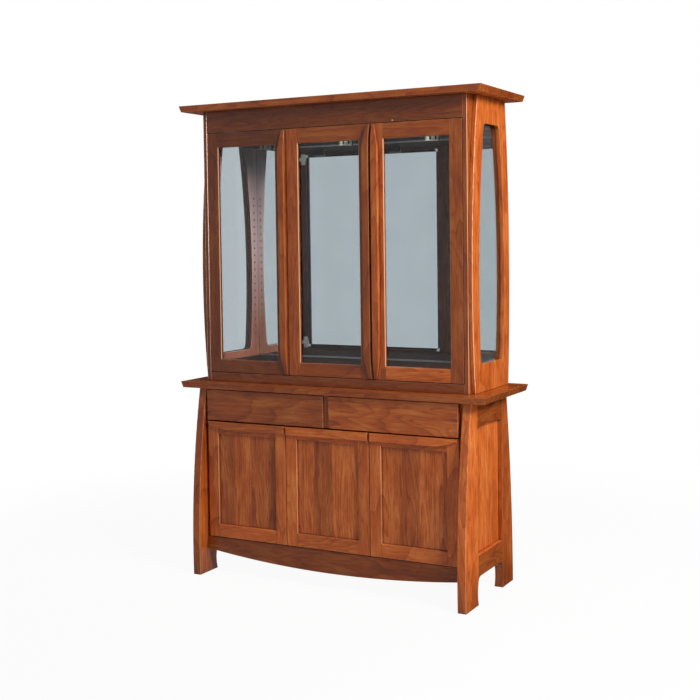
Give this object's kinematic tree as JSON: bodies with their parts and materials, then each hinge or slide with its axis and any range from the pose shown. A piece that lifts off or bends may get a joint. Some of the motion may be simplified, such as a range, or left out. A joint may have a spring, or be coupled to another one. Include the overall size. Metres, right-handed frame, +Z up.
{
  "type": "dresser with hutch",
  "caption": "Cherry dining dresser: a flared-leg base with drawers and panelled cupboard doors carries a mirror-backed display hutch with glazed doors and bowed ends.",
  "frame": {"origin": "on the floor under the middle of the bounding box", "axes": "+X along the width to the viewer's right, the front faces -Y, +Z up"},
  "size_m": [1.466, 0.53, 2.083],
  "materials": {
    "cherry_wood": "satin lacquered cherry",
    "case_wood": "satin lacquered veneer board",
    "back_panel": "unpolished veneer back board",
    "drawer_wood": "clear lacquered hardwood",
    "clear_glass": "clear float glass",
    "mirror_back": "silvered float glass",
    "hinge_steel": "nickel-plated steel",
    "light_trim": "satin metal lamp housing"
  },
  "bodies": {
    "carcass": {"leg_front_left": "cherry_wood", "leg_back_left": "cherry_wood", "side_rail_top_left": "cherry_wood", "side_rail_bottom_left": "cherry_wood", "side_panel_left": "cherry_wood", "leg_front_right": "cherry_wood", "leg_back_right": "cherry_wood", "side_rail_top_right": "cherry_wood", "side_rail_bottom_right": "cherry_wood", "side_panel_right": "cherry_wood", "base_top": "cherry_wood", "apron": "cherry_wood", "crown": "cherry_wood", "frieze_rail": "cherry_wood", "hutch_bottom_rail": "cherry_wood", "hutch_mullion": "cherry_wood", "hutch_end_left": "cherry_wood", "hutch_end_right": "cherry_wood", "hutch_side_left": "cherry_wood", "hutch_side_right": "cherry_wood", "base_sides": "case_wood", "base_bottom": "case_wood", "base_partitions": "case_wood", "drawer_deck": "case_wood", "drawer_divider": "case_wood", "hutch_floor": "case_wood", "hutch_ceiling": "case_wood", "base_back": "back_panel", "hutch_back": "back_panel", "drawer_runners": "hinge_steel", "hinge_plates": "hinge_steel", "mirror": "mirror_back", "side_glass": "clear_glass", "cabinet_lights": "light_trim"},
    "drawer_left": {"drawer_front_left": "cherry_wood", "drawer_box_left": "drawer_wood"},
    "drawer_right": {"drawer_front_right": "cherry_wood", "drawer_box_right": "drawer_wood"},
    "base_door_left": {"base_door_left": "cherry_wood", "base_panel_left": "cherry_wood", "base_hinges_left": "hinge_steel"},
    "glazed_door_left": {"glazed_door_left": "cherry_wood", "door_glass_left": "clear_glass", "pull_left": "cherry_wood", "hutch_hinges_left": "hinge_steel"},
    "base_door_middle": {"base_door_middle": "cherry_wood", "base_panel_middle": "cherry_wood", "base_hinges_middle": "hinge_steel"},
    "glazed_door_middle": {"glazed_door_middle": "cherry_wood", "door_glass_middle": "clear_glass", "pull_middle": "cherry_wood", "hutch_hinges_middle": "hinge_steel"},
    "base_door_right": {"base_door_right": "cherry_wood", "base_panel_right": "cherry_wood", "base_hinges_right": "hinge_steel"},
    "glazed_door_right": {"glazed_door_right": "cherry_wood", "door_glass_right": "clear_glass", "pull_right": "cherry_wood", "hutch_hinges_right": "hinge_steel"}
  },
  "joints": [
    {"name": "drawer_left_slide", "type": "slide", "parent": "carcass", "child": "drawer_left", "axis": [0, -1, 0], "range_m": [0, 0.28]},
    {"name": "drawer_right_slide", "type": "slide", "parent": "carcass", "child": "drawer_right", "axis": [0, -1, 0], "range_m": [0, 0.28]},
    {"name": "base_door_left_hinge", "type": "hinge", "parent": "carcass", "child": "base_door_left", "pos_m": [-0.606, -0.208, 0.4245], "axis": [0, 0, -1], "range_deg": [0, 95]},
    {"name": "base_door_middle_hinge", "type": "hinge", "parent": "carcass", "child": "base_door_middle", "pos_m": [-0.1996, -0.208, 0.4245], "axis": [0, 0, -1], "range_deg": [0, 95]},
    {"name": "base_door_right_hinge", "type": "hinge", "parent": "carcass", "child": "base_door_right", "pos_m": [0.606, -0.208, 0.4245], "axis": [0, 0, 1], "range_deg": [0, 95]},
    {"name": "glazed_door_left_hinge", "type": "hinge", "parent": "carcass", "child": "glazed_door_left", "pos_m": [-0.613, -0.164, 1.43], "axis": [0, 0, -1], "range_deg": [0, 100]},
    {"name": "glazed_door_middle_hinge", "type": "hinge", "parent": "carcass", "child": "glazed_door_middle", "pos_m": [-0.2019, -0.164, 1.43], "axis": [0, 0, -1], "range_deg": [0, 100]},
    {"name": "glazed_door_right_hinge", "type": "hinge", "parent": "carcass", "child": "glazed_door_right", "pos_m": [0.613, -0.164, 1.43], "axis": [0, 0, 1], "range_deg": [0, 100]}
  ]
}
